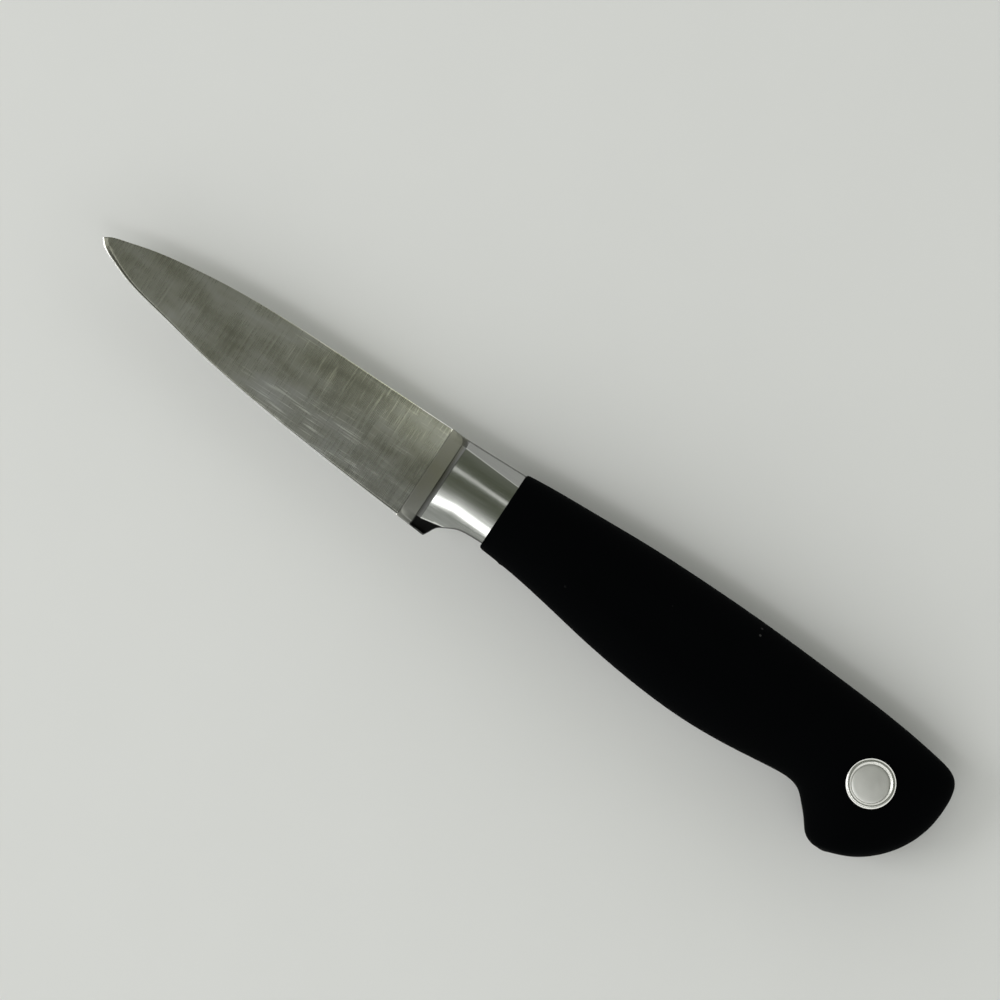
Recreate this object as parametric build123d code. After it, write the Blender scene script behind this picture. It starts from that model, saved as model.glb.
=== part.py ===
from build123d import *
import math
import os

# Paring knife lying on its side, sizes in millimetres.
# X runs from the tip to the butt, Y from the cutting edge to the spine, Z up through the thickness.
# While it is drawn, X = 0 is the bolster's rear face, Y = 0 the blade's spine and Z = 0 its middle
# plane. At the end everything is moved so that the origin is the bottom centre of its box.

# Blade: a ground wedge that ends at the heel
BLADE_LENGTH = 88.9
BLADE_DEPTH = 21.7
SPINE_THICKNESS = 2.3
EDGE_THICKNESS = 0.4
TIP_THICKNESS = 0.8
BEVEL_DEGREES = 20
BEVEL_REACH = 1.6
EDGE_LAND = 0.04
# Side view of the blade: shares of its length back from the tip, and of its depth below the spine
TIP_SHARE = (0, 0.315)
SPINE_SHARES = [(0.012, 0.281), (0.046, 0.232), (0.100, 0.172), (0.200, 0.095), (0.334, 0.032), (0.520, 0)]
EDGE_SHARES = [(0.012, 0.372), (0.046, 0.448), (0.100, 0.532), (0.200, 0.622), (0.334, 0.728),
               (0.520, 0.835), (0.780, 0.933), (0.958, 0.986)]

# Bolster: a sloped flange in front of a neck that widens into the handle, cut by a finger notch
HEEL_SETBACK = 11.1
NECK_LENGTH = 13.4
FLANGE_REAR_SLOPE = 1.15
FLANGE_FRONT_SLOPE = 3.3
CREST_DEPTH = 9.1
BELLY_DEPTH = 18.9
FOOT_DEPTH = 21.0
FOOT_HALF_WIDTH = 0.06
# Sections across the bolster: the spine's height and half width, how far its facet drops and where
# that stands out, and how far the side stands out at its crest and at its belly
FLANGE_ROOT = dict(top=0.0, spine=1.15, facet_drop=1.8, facet=0.95, crest=0.65, belly=0.2)
FLANGE_RIDGE = dict(top=-0.1, spine=2.3, facet_drop=1.6, facet=4.2, crest=5.3, belly=3.7)
NECK_FRONT = dict(top=-0.5, spine=1.9, facet_drop=1.3, facet=3.5, crest=4.7, belly=3.1)
NECK_REAR = dict(top=0.25, spine=2.3, facet_drop=2.8, facet=4.75, crest=5.8, belly=4.4)
# Finger notch: shares of its way from the heel to the handle, and of the blade's depth
NOTCH_SHARES = [(0, 1.0), (0.055, 0.953), (0.14, 0.875), (0.29, 0.825), (0.46, 0.782), (0.68, 0.761),
                (1.0, 0.756)]

# Tang: a flat bar of the same forging, hidden in the handle
TANG_THICKNESS = 2.6
TANG_FRONT_COVER = 3.8
TANG_REAR_HEIGHT = 8.8
TANG_PAST_RIVET = 6.5
TANG_CORNER = 3.5
LOCK_HOLE = 5.0
LOCK_HOLE_SHARES = [0.24, 0.57]
LOCK_SOCKET = 1.8

# Handle: an elastomer skin over a rigid core
HANDLE_LENGTH = 109.9
HANDLE_DEPTH = 32.9
HANDLE_THICKNESS = 17.2
SIDE_CROWN = 0.4
CREST_RISE = 2.4
GRIP_WALL = 2.3
FRONT_LIP_RADIUS = 0.6
FRONT_LIP_STEPS = 3
# Oval sections: a power over 2 makes them squarer, and they rise this steeply at both ends
SECTION_POWER = 2.35
SECTION_STEPS = 8
END_RISE = 4.5
# Ribs fan out round the butt: spine end, belly end (along the length, down the depth), thickness
RIB_SHARES = [
    ((0.000, 0.055), (0.000, 0.601), 0.790),
    ((0.063, 0.038), (0.063, 0.619), 0.872),
    ((0.147, 0.023), (0.147, 0.659), 0.948),
    ((0.260, 0.005), (0.260, 0.724), 0.988),
    ((0.373, 0.000), (0.373, 0.772), 1.000),
    ((0.485, 0.004), (0.485, 0.793), 0.988),
    ((0.598, 0.018), (0.594, 0.775), 0.959),
    ((0.692, 0.035), (0.677, 0.743), 0.930),
    ((0.777, 0.052), (0.722, 0.734), 0.919),
    ((0.861, 0.078), (0.750, 0.762), 0.913),
    ((0.936, 0.113), (0.769, 0.821), 0.907),
    ((0.986, 0.175), (0.785, 0.878), 0.895),
    ((1.000, 0.350), (0.798, 0.934), 0.872),
    ((0.989, 0.589), (0.809, 0.972), 0.826),
    ((0.947, 0.815), (0.821, 0.992), 0.733),
    ((0.904, 0.928), (0.830, 0.999), 0.558),
    ((0.876, 0.970), (0.838, 1.000), 0.326),
    ((0.861, 0.988), (0.846, 1.000), 0.140),
]
CORE_RIBS = 13
BOND_GAP = 0.12

# Rivet and its two covers: their middle is a share of the handle's length and of its depth
MEDALLION_SHARE = (0.855, 0.480)
MEDALLION_DIAMETER = 10.6
MEDALLION_THICKNESS = 1.3
MEDALLION_PROUD = 0.25
MEDALLION_RIM = 1.5
MEDALLION_DISH = 0.35
RIVET_HEAD_DIAMETER = 8.6
RIVET_HEAD_THICKNESS = 1.2
RIVET_SLEEVE_DIAMETER = 5.0
RIVET_POST_DIAMETER = 3.4
RIVET_BORE_END = 1.0

# Cutters reach this far past what they cut
OVERRUN = 6.0

HEEL_X = -HEEL_SETBACK
TIP_X = HEEL_X - BLADE_LENGTH
RIDGE_X = -NECK_LENGTH - FLANGE_REAR_SLOPE
FLANGE_FRONT_X = RIDGE_X - FLANGE_FRONT_SLOPE


def mirrored(shape):
    return shape.mirror(Plane.XY)


def plate(outline, half_thickness):
    return extrude(outline, half_thickness, both=True)


def blade_point(share):
    along, down = share
    return Vector(TIP_X + along * BLADE_LENGTH, -down * BLADE_DEPTH)


def blade_edge():
    return Edge.make_spline([blade_point(share) for share in [TIP_SHARE] + EDGE_SHARES])


def blade_outline():
    """Side view, whose rear end lies inside the bolster."""
    edge = blade_edge()
    spine = Edge.make_spline([blade_point(share) for share in [TIP_SHARE] + SPINE_SHARES])
    facet_y = -FLANGE_RIDGE["facet_drop"]
    rest = Polyline(spine @ 1, (FLANGE_FRONT_X, 0), (RIDGE_X, facet_y), (RIDGE_X, -CREST_DEPTH),
                    (0, -CREST_DEPTH), (0, -BLADE_DEPTH), (HEEL_X, -BLADE_DEPTH), edge @ 1)
    return make_face([edge, spine] + rest.edges())


def ground_side():
    """Plane of the upper side: thick at the spine, thin at the edge and thinner at the tip."""
    spine = Vector(RIDGE_X, 0, SPINE_THICKNESS / 2)
    heel = Vector(RIDGE_X, -BLADE_DEPTH, EDGE_THICKNESS / 2)
    tip = blade_point(TIP_SHARE) + Vector(0, 0, TIP_THICKNESS / 2)
    return Plane(origin=heel, x_dir=spine - heel, z_dir=(spine - heel).cross(tip - heel))


def bevel_waste():
    """What is ground off above the cutting edge, carried along it with its slope to the inside."""
    edge = blade_edge()
    land = EDGE_LAND / 2
    top = land + BEVEL_REACH * math.tan(math.radians(BEVEL_DEGREES))
    across = Plane(origin=edge @ 0, x_dir=(0, 0, 1), z_dir=edge % 0)
    waste = Polyline((land, BEVEL_REACH), (land, 0), (top, -BEVEL_REACH), (top, BEVEL_REACH), close=True)
    return sweep(across * make_face(waste), path=edge)


def bolster_section(x, top, spine, facet_drop, facet, crest, belly):
    """Section across the knife: flat spine, a facet, a convex side and a slope down to the heel."""
    facet_y = top - facet_drop
    foot = (-FOOT_DEPTH, FOOT_HALF_WIDTH)
    side = ThreePointArc((facet_y, facet), (-CREST_DEPTH, crest), (-BELLY_DEPTH, belly))
    lines = Line((top, spine), (facet_y, facet)).edges() + Line((-BELLY_DEPTH, belly), foot).edges()
    half = lines + side.edges()
    ends = Line((top, -spine), (top, spine)).edges() + Line(foot, (foot[0], -foot[1])).edges()
    across = Plane(origin=(x, 0, 0), x_dir=(0, 1, 0), z_dir=(1, 0, 0))
    return across * make_face(half + [line.mirror(Plane.XZ) for line in half] + ends)


def bolster():
    root = bolster_section(FLANGE_FRONT_X, **FLANGE_ROOT)
    ridge = bolster_section(RIDGE_X, **FLANGE_RIDGE)
    neck_front = bolster_section(-NECK_LENGTH, **NECK_FRONT)
    neck_rear = bolster_section(0, **NECK_REAR)
    return loft([root, ridge], ruled=True) + loft([ridge, neck_front], ruled=True) + loft(
        [neck_front, neck_rear], ruled=True)


def finger_notch():
    """Outline from the heel's corner up to the handle, cut right through."""
    points = [(HEEL_X * (1 - along), -down * BLADE_DEPTH) for along, down in NOTCH_SHARES]
    below = -BLADE_DEPTH - OVERRUN
    rest = Polyline(points[-1], (OVERRUN, points[-1][1]), (OVERRUN, below), (HEEL_X, below), points[0])
    return plate(make_face(Spline(*points).edges() + rest.edges()), HANDLE_THICKNESS)


def handle_point(share):
    along, down = share
    return Vector(along * HANDLE_LENGTH, CREST_RISE - down * HANDLE_DEPTH)


def rivet_place():
    return Pos(handle_point(MEDALLION_SHARE))


def tang_ends():
    """Middle of the tang's front end, halfway down the handle's front, and of its rear end."""
    spine_end, belly_end, _ = RIB_SHARES[0]
    front = (handle_point(spine_end) + handle_point(belly_end)) * 0.5
    return front, handle_point(MEDALLION_SHARE) + Vector(TANG_PAST_RIVET, 0)


def tang_outline():
    """Side view, covered by the handle in front and tapering to the rear."""
    front, rear = tang_ends()
    front_half = Vector(0, handle_point(RIB_SHARES[0][0]).Y - front.Y - TANG_FRONT_COVER)
    rear_half = Vector(0, TANG_REAR_HEIGHT / 2)
    face = make_face(Polyline(front + front_half, rear + rear_half, rear - rear_half, front - front_half,
                              close=True))
    rear_corners = [v for v in face.vertices() if v.X > rear.X / 2]
    return fillet(rear_corners, TANG_CORNER)


def tang():
    bar = plate(tang_outline(), TANG_THICKNESS / 2)
    for hole in lock_places():
        bar -= hole * Cylinder(LOCK_HOLE / 2, TANG_THICKNESS + OVERRUN)
    bar -= rivet_place() * Cylinder(RIVET_SLEEVE_DIAMETER / 2, TANG_THICKNESS + OVERRUN)
    return bar


def lock_places():
    """Centres of the holes that the core's pegs pass through, on the tang's middle line."""
    front, rear = tang_ends()
    return [Pos(front + (rear - front) * share) for share in LOCK_HOLE_SHARES]


def blade():
    """One forging: blade, bolster and tang."""
    steel = plate(blade_outline(), SPINE_THICKNESS)
    for _ in range(2):
        steel = mirrored(split(steel, bisect_by=ground_side(), keep=Keep.BOTTOM) - bevel_waste())
    return steel + bolster() - finger_notch() + tang()


def rib_section(rib, inset=0, at=None):
    """Upper half of the oval section through one rib, closed by a line on the middle plane."""
    spine_end, belly_end, thickness = rib
    centre = (handle_point(spine_end) + handle_point(belly_end)) * 0.5
    half = handle_point(spine_end) - centre
    half = half.normalized() * (half.length - inset)
    if at is not None:
        centre = Vector(at, centre.Y)
    height = Vector(0, 0, thickness * (HANDLE_THICKNESS / 2 + SIDE_CROWN) - inset)

    def point(turn):
        across = math.copysign(abs(math.cos(turn)) ** (2 / SECTION_POWER), math.cos(turn))
        return centre + half * across + height * math.sin(turn) ** (2 / SECTION_POWER)

    # All sections have the same parameters and alike ends, which keeps the skin through them even
    turn_shares = [step / SECTION_STEPS for step in range(SECTION_STEPS + 1)]
    inner = [point(math.pi * share) for share in turn_shares[1:-1]]
    start, end = centre + half, centre - half
    rise = height * END_RISE
    arch = Edge.make_spline([start] + inner + [end], tangents=[rise, -rise], parameters=turn_shares,
                            scale=False)
    return Wire([arch, Edge.make_line(end, start)])


def both_halves(sections, ruled=False):
    """Body through half sections, its sides trimmed flat to the handle's thickness."""
    side = Plane.XY.offset(HANDLE_THICKNESS / 2)
    half = split(Solid.make_loft(sections, ruled), bisect_by=side, keep=Keep.BOTTOM)
    return half + mirrored(half)


def handle_form():
    """The whole handle: its front lip is rounded, then the ribs carry it to the butt."""
    front = RIB_SHARES[0]
    ribs = [rib_section(front, at=FRONT_LIP_RADIUS)] + [rib_section(rib) for rib in RIB_SHARES[1:]]
    turns = [math.pi / 2 * step / FRONT_LIP_STEPS for step in range(FRONT_LIP_STEPS + 1)]
    lip = [rib_section(front, FRONT_LIP_RADIUS * (1 - math.sin(t)), FRONT_LIP_RADIUS * (1 - math.cos(t)))
           for t in turns]
    return both_halves(ribs) + both_halves(lip, ruled=True)


def core_form(inset):
    return both_halves([rib_section(rib, inset) for rib in RIB_SHARES[:CORE_RIBS]])


def grip_surface_height(form):
    """How high the handle's side stands over the rivet."""
    up = Axis(handle_point(MEDALLION_SHARE), (0, 0, 1))
    return max(point.Z for point, _ in form.find_intersection_points(up))


def peg(place, diameter, bottom, top):
    centred_above = (Align.CENTER, Align.CENTER, Align.MIN)
    return place * Pos(0, 0, bottom) * Cylinder(diameter / 2, top - bottom, align=centred_above)


def disc(diameter, bottom, top):
    return peg(rivet_place(), diameter, bottom, top)


def medallion(top):
    """Plain stamped cover: a rounded rim round a dished field."""
    radius = MEDALLION_DIAMETER / 2
    bottom = top - MEDALLION_THICKNESS
    field = radius - MEDALLION_RIM
    edge = top - MEDALLION_DISH
    rim = ThreePointArc((radius, edge), (radius - MEDALLION_RIM / 3, top), (field, edge))
    base = Polyline((field, edge), (0, edge), (0, bottom), (radius, bottom), (radius, edge))
    profile = Plane.XZ * make_face(rim.edges() + base.edges())
    return rivet_place() * revolve(profile, Axis.Z)


def rivet_sleeve(head_bottom, head_top):
    body = disc(RIVET_HEAD_DIAMETER, head_bottom, head_top)
    body += disc(RIVET_SLEEVE_DIAMETER, -head_bottom, head_bottom)
    return body - disc(RIVET_POST_DIAMETER, -head_bottom, head_bottom - RIVET_BORE_END)


def rivet_post(head_bottom, head_top):
    head = disc(RIVET_HEAD_DIAMETER, -head_top, -head_bottom)
    return head + disc(RIVET_POST_DIAMETER, -head_bottom, head_bottom - RIVET_BORE_END)


def lock_pegs(bottom, top):
    first, *others = [peg(hole, LOCK_HOLE, bottom, top) for hole in lock_places()]
    return first + others


def upper_half(shape):
    return split(shape, bisect_by=Plane.XY, keep=Keep.TOP)


def build():
    form = handle_form()
    core = core_form(GRIP_WALL + BOND_GAP)
    medallion_top = grip_surface_height(form) + MEDALLION_PROUD
    head_top = medallion_top - MEDALLION_THICKNESS
    head_bottom = head_top - RIVET_HEAD_THICKNESS

    rivet_space = disc(RIVET_HEAD_DIAMETER, head_bottom, head_top)
    rivet_space += mirrored(rivet_space) + disc(RIVET_SLEEVE_DIAMETER, -head_bottom, head_bottom)
    cover_space = disc(MEDALLION_DIAMETER, head_top, medallion_top)
    cover_space += mirrored(cover_space)

    grip = form - core_form(GRIP_WALL) - rivet_space - cover_space
    scale = upper_half(core - plate(tang_outline(), TANG_THICKNESS / 2) - rivet_space)
    pegs = lock_pegs(-TANG_THICKNESS / 2 - LOCK_SOCKET, TANG_THICKNESS / 2)
    return {
        "blade": blade(),
        "soft_grip": grip,
        "core_scale_front": scale + pegs,
        "core_scale_back": mirrored(scale) - pegs,
        "rivet_sleeve": rivet_sleeve(head_bottom, head_top),
        "rivet_post": rivet_post(head_bottom, head_top),
        "medallion_front": medallion(medallion_top),
        "medallion_back": mirrored(medallion(medallion_top)),
    }


def main():
    os.makedirs("parts", exist_ok=True)
    pieces = build()
    box = Compound(list(pieces.values())).bounding_box()
    to_origin = Pos(-(box.min.X + box.max.X) / 2, -(box.min.Y + box.max.Y) / 2, HANDLE_THICKNESS / 2)
    for name, shape in pieces.items():
        export_step(to_origin * shape, f"parts/{name}.step")
    print("length, depth, thickness:", box.size.X, box.size.Y, HANDLE_THICKNESS)


main()
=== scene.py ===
import math

import bmesh
import bpy
import numpy as np
from bpy.props import FloatProperty, FloatVectorProperty, IntProperty, PointerProperty
from bpy.types import Operator, Panel, PropertyGroup
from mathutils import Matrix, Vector


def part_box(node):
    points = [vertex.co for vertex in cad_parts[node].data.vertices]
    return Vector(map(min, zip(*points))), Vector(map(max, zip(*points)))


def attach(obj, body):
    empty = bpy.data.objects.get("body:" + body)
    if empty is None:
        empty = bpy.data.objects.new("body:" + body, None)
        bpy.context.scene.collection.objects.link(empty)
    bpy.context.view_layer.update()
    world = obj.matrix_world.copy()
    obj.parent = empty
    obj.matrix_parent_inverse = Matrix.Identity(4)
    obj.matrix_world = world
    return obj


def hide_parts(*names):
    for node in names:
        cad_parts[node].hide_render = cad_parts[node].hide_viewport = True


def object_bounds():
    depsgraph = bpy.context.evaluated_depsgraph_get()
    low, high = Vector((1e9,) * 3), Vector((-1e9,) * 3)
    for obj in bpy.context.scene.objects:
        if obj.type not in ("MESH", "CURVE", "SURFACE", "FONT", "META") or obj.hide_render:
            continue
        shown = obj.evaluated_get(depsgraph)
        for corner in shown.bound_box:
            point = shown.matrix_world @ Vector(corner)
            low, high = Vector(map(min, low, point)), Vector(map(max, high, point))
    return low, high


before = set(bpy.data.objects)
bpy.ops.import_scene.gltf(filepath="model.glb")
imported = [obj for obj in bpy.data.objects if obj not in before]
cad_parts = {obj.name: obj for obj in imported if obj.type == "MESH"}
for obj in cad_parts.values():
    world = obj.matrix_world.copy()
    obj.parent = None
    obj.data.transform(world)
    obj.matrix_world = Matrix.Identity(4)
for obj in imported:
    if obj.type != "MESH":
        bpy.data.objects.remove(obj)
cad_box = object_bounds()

bl_info = {
    "name": "Forged Paring Knife",
    "version": (1, 0, 0),
    "blender": (4, 5, 0),
    "location": "3D View > Sidebar > Paring Knife",
    "description": "Builds a forged paring knife with its finishes, and a small studio for it",
    "category": "Add Mesh",
}

MM = 0.001
# Cutters reach this far past what they cut
OVERRUN = 1 * MM
# Marks of where the forging's finish changes fade over this much to each side
MARK_FADE = 0.1 * MM
BEVEL_FADE = 0.02 * MM
# The painted shade in the notch's corner fades over this much, and leaves a lit strip along the notch's
# edge
CORNER_FADE, LIT_STRIP = 0.25 * MM, 0.1 * MM
# Gap between the last ring of the bolster and the first of the tang
HAIR = 0.0001 * MM

# Side view of the blade: shares of its length back from the tip, and of its depth below the spine
TIP_SHARE = (0, 0.315)
SPINE_SHARES = [(0.012, 0.281), (0.046, 0.232), (0.100, 0.172), (0.200, 0.095), (0.334, 0.032),
                (0.520, 0)]
EDGE_SHARES = [(0.012, 0.372), (0.046, 0.448), (0.100, 0.532), (0.200, 0.622), (0.334, 0.728),
               (0.520, 0.835), (0.780, 0.933), (0.958, 0.986)]
# Finger notch: shares of its way from the heel to the handle, and of the blade's depth
NOTCH_SHARES = [(0, 1.0), (0.055, 0.953), (0.14, 0.875), (0.29, 0.825), (0.46, 0.782), (0.68, 0.761),
                (1.0, 0.756)]

# Sections across the bolster in millimetres: the spine's height and half width, how far its facet
# drops and where that stands out, and how far the side stands out at its crest and at its belly
SECTION_KEYS = ("top", "spine", "facet_drop", "facet", "crest", "belly")
FLANGE_ROOT = (0.0, 1.15, 1.8, 0.95, 0.65, 0.2)
FLANGE_RIDGE = (-0.1, 2.3, 1.6, 4.2, 5.3, 3.7)
NECK_FRONT = (-0.1, 1.9, 1.7, 3.5, 4.7, 3.1)
NECK_REAR = (0.25, 2.3, 2.8, 4.75, 5.8, 4.4)

# Handle ribs fan out round the butt: spine end, belly end (along the length, down the depth), thickness
RIB_SHARES = [
    (0, 0.055, 0, 0.601, 0.790),
    (0.063, 0.038, 0.063, 0.619, 0.872),
    (0.147, 0.023, 0.147, 0.659, 0.948),
    (0.260, 0.005, 0.260, 0.724, 0.988),
    (0.373, 0, 0.373, 0.772, 1),
    (0.485, 0.004, 0.485, 0.793, 0.988),
    (0.598, 0.018, 0.594, 0.775, 0.959),
    (0.692, 0.035, 0.677, 0.743, 0.930),
    (0.777, 0.052, 0.722, 0.734, 0.919),
    (0.861, 0.078, 0.750, 0.762, 0.913),
    (0.936, 0.113, 0.769, 0.821, 0.907),
    (0.986, 0.175, 0.785, 0.878, 0.895),
    (1, 0.350, 0.798, 0.934, 0.872),
    (0.989, 0.589, 0.809, 0.972, 0.826),
    (0.947, 0.815, 0.821, 0.992, 0.733),
    (0.904, 0.928, 0.830, 0.999, 0.558),
    (0.876, 0.970, 0.838, 1, 0.326),
    (0.861, 0.988, 0.846, 1, 0.140),
]
CORE_RIBS = 13

# Holes for the core's pegs, as shares of the tang's length
LOCK_HOLE_SHARES = (0.24, 0.57)

# Rings along the forging: how far past the tip, the tip, the flange's root, its ridge and the neck each
# span starts, and the step in it
RING_SPANS = [(0.04 * MM, 0.1 * MM), (2 * MM, 1 * MM), (-0.5 * MM, 0.09 * MM), (-0.3 * MM, 0.05 * MM),
              (0.3 * MM, 0.14 * MM)]
# Rounded corners of a ring take at most these shares of its depth and of its half thickness
CORNER_DEPTH_SHARE, CORNER_WIDTH_SHARE = 0.2, 0.8
# The tang's last ring takes this share of its corner's radius
LAST_RING_SHARE = 0.999
# Share of the rows that are spread evenly, the rest being closer at the spine and the edge
EVEN_SHARE = 0.7


def length(name, description, default, least=0):
    """Property for a length, whose default is in millimetres."""
    return FloatProperty(name=name, description=description, default=default * MM, min=least,
                         precision=5, unit="LENGTH")


def angle(name, description, degrees):
    return FloatProperty(name=name, description=description, default=math.radians(degrees),
                         subtype="ANGLE")


def count(name, description, default):
    return IntProperty(name=name, description=description, default=default, min=2)


def group(kind, name):
    return PointerProperty(type=kind, name=name, description=f"Settings of the {name.lower()}")


def color(name, description, default):
    return FloatVectorProperty(name=name, description=description, default=default, size=3, min=0,
                               soft_max=1, subtype="COLOR")


class BladeSizes(PropertyGroup):
    reach: length("Length", "From the tip to the heel", 88.9)
    depth: length("Depth", "From the spine to the heel's edge", 21.7)
    spine_thickness: length("Spine thickness", "Thickness of the spine at the bolster", 2.3)
    edge_thickness: length("Edge thickness", "Thickness behind the edge at the bolster", 0.4)
    tip_thickness: length("Tip thickness", "Thickness behind the tip", 0.8)
    bevel_angle: angle("Bevel angle", "Slope of the edge's bevel on each side", 20)
    bevel_end: length("Bevel end", "Length over which the bevel runs out by the heel", 1.0)
    edge_land: length("Edge land", "Width left along the honed edge", 0.04)
    spine_round: length("Spine rounding", "Rounding of the spine's corners", 0.22)
    rows: count("Rows", "Rows of faces down each side", 150)


class BolsterSizes(PropertyGroup):
    heel_setback: length("Heel setback", "From the heel to the handle", 11.1)
    neck_length: length("Neck length", "From the flange to the handle", 13.4)
    rear_slope: length("Rear slope", "Length of the flange's rear slope", 1.15)
    front_slope: length("Front slope", "Length of the flange's front slope", 3.3)
    crest_depth: length("Crest depth", "Where the side stands out most, below the spine", 9.1)
    belly_depth: length("Belly depth", "Where the side turns in, below the spine", 18.9)
    foot_depth: length("Foot depth", "Where the side meets the heel, below the spine", 21.0)
    foot_half_width: length("Foot half width", "Half width at the foot", 0.06)
    foot_rise: length("Foot facet rise", "How much higher the foot's facet reaches at the heel", 0.45)
    shoulder: length("Shoulder radius", "Rounding of the flange's upper rear corner", 2.0)
    facet_depth: length("Heel facet depth", "Where the small facet by the heel starts", 14.0)
    facet_rise: length("Heel facet rise", "How much that facet lifts over its width", 0.33)
    facet_width: length("Heel facet width", "How wide that facet is at the heel", 1.24)
    corner_round: length("Corner rounding", "Rounding of the spine's and the notch's corners", 0.32)
    crease_round: length("Crease rounding", "How far the creases are softened to each side", 0.09)


class TangSizes(PropertyGroup):
    thickness: length("Thickness", "Thickness of the flat bar", 2.6)
    front_cover: length("Front cover", "What the handle covers above and below its front", 3.8)
    rear_height: length("Rear height", "Height of the bar at its rear end", 8.8)
    past_rivet: length("Past the rivet", "From the rivet's middle to the rear end", 6.5)
    corner: length("Corner radius", "Rounding of the rear corners", 3.5)
    hole: length("Lock hole", "Diameter of the holes for the core's pegs", 5.0)
    rivet_hole: length("Rivet hole", "Diameter of the hole for the rivet", 5.0)
    hole_sides: count("Hole sides", "Faces round a hole", 48)


class GripSizes(PropertyGroup):
    reach: length("Length", "From the bolster to the butt", 109.9)
    depth: length("Depth", "From the highest point to the hook's lowest", 32.9)
    thickness: length("Thickness", "Between its flat sides", 17.2)
    side_crown: length("Side crown", "How far the sides would crown past their flats", 0.4)
    crest_rise: length("Crest rise", "How far the handle rises over the blade's spine", 2.4)
    wall: length("Wall", "Thickness of the soft skin", 2.3)
    lip: length("Lip radius", "Rounding of the front edge", 0.6)
    section_power: FloatProperty(name="Section power", description="2 is an ellipse, more is squarer",
                                 default=2.35, min=2)
    flat_ease: length("Flat ease", "How softly the sides turn onto their flats", 0.05)
    end_round: length("End rounding", "How far the last ring of the hook rounds out", 0.2)
    bead_height: length("Bead height", "How far the mould's parting bead stands proud", 0.03)
    bead_share: FloatProperty(name="Bead share", description="Its half width, as a share of the grip's",
                              default=0.016, min=0, subtype="FACTOR")
    gate_height: length("Gate height", "How far the gate mark on the belly stands proud", 0.16)
    gate_setback: length("Gate setback", "From the handle's front to the gate mark", 5.5)
    gate_radius: length("Gate radius", "Radius of the gate mark", 0.45)
    steps: count("Steps", "Rings of faces between two ribs", 9)


class MedallionSizes(PropertyGroup):
    clearance: length("Clearance", "Gap between the cover and the rubber", 0.05)
    sides: count("Sides", "Faces round a cover", 128)
    rivet_sides: count("Rivet sides", "Faces round the rivet's space", 96)
    dish: length("Dish", "Depth that the profile's shares of depth are taken of", 0.35)
    chamfer: length("Chamfer", "Height of the chamfer round the hidden back", 0.1)


class Finishes(PropertyGroup):
    steel: color("Steel", "Colour of the polished bolster", (0.60, 0.61, 0.585))
    olive_steel: color("Olive steel", "Colour of the satin blade", (0.60, 0.605, 0.475))
    # Painted shade in the notch's corner
    notch_shade: color("Notch shade", "Colour of painted shade in the notch's corner", (0.002, 0.002, 0.002))
    cover_steel: color("Cover steel", "Colour of the rivet's covers", (0.74, 0.74, 0.71))
    rubber: color("Rubber", "Colour of the soft grip", (0.0007, 0.0009, 0.0011))
    dust: color("Dust", "Colour of the specks on the grip", (0.12, 0.12, 0.115))
    plastic: color("Core plastic", "Colour of the hidden core", (0.05, 0.05, 0.055))
    floor: color("Floor", "Colour of the floor", (0.74, 0.745, 0.735))


class StudioSettings(PropertyGroup):
    turn: angle("Camera turn", "Turn of the view round the upright", 33.5)
    aim_along: length("Aim along", "Middle of the view along the knife", -6.73, least=-1)
    aim_across: length("Aim across", "Middle of the view across the knife", 7.20, least=-1)
    view_width: length("View width", "Width of the view at the knife's middle plane", 206.3)
    camera_height: length("Camera height", "From the knife's middle plane to the camera", 2000.0)
    floor_width: length("Floor width", "Side of the floor", 4000.0)


class KnifeSettings(PropertyGroup):
    blade: group(BladeSizes, "Blade")
    bolster: group(BolsterSizes, "Bolster")
    tang: group(TangSizes, "Tang")
    grip: group(GripSizes, "Grip")
    medallion: group(MedallionSizes, "Medallion")
    finish: group(Finishes, "Finishes")
    studio: group(StudioSettings, "Studio")


def settings():
    return bpy.context.scene.paring_knife


class SmoothCurve:
    """Natural cubic curve through points, followed by the distance along their chords."""

    def __init__(self, points):
        self.points = np.array(points, float)
        gaps = np.linalg.norm(np.diff(self.points, axis=0), axis=1)
        self.knots = np.concatenate([[0], np.cumsum(gaps)])
        slopes = np.diff(self.points, axis=0) / gaps[:, None]
        rows = np.eye(len(self.points))
        changes = np.zeros_like(self.points)
        for i in range(1, len(self.points) - 1):
            rows[i, i - 1:i + 2] = gaps[i - 1], 2 * (gaps[i - 1] + gaps[i]), gaps[i]
            changes[i] = 6 * (slopes[i] - slopes[i - 1])
        self.bends = np.linalg.solve(rows, changes)

    def at(self, distances):
        last = len(self.points) - 2
        i = np.clip(np.searchsorted(self.knots, distances, side="right") - 1, 0, last)
        gap = (self.knots[i + 1] - self.knots[i])[:, None]
        b = (distances - self.knots[i])[:, None] / gap
        a = 1 - b
        bend = (a ** 3 - a) * self.bends[i] + (b ** 3 - b) * self.bends[i + 1]
        return a * self.points[i] + b * self.points[i + 1] + bend * gap ** 2 / 6

    def sampled(self, count=1500):
        return self.at(np.linspace(0, self.knots[-1], count))


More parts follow.
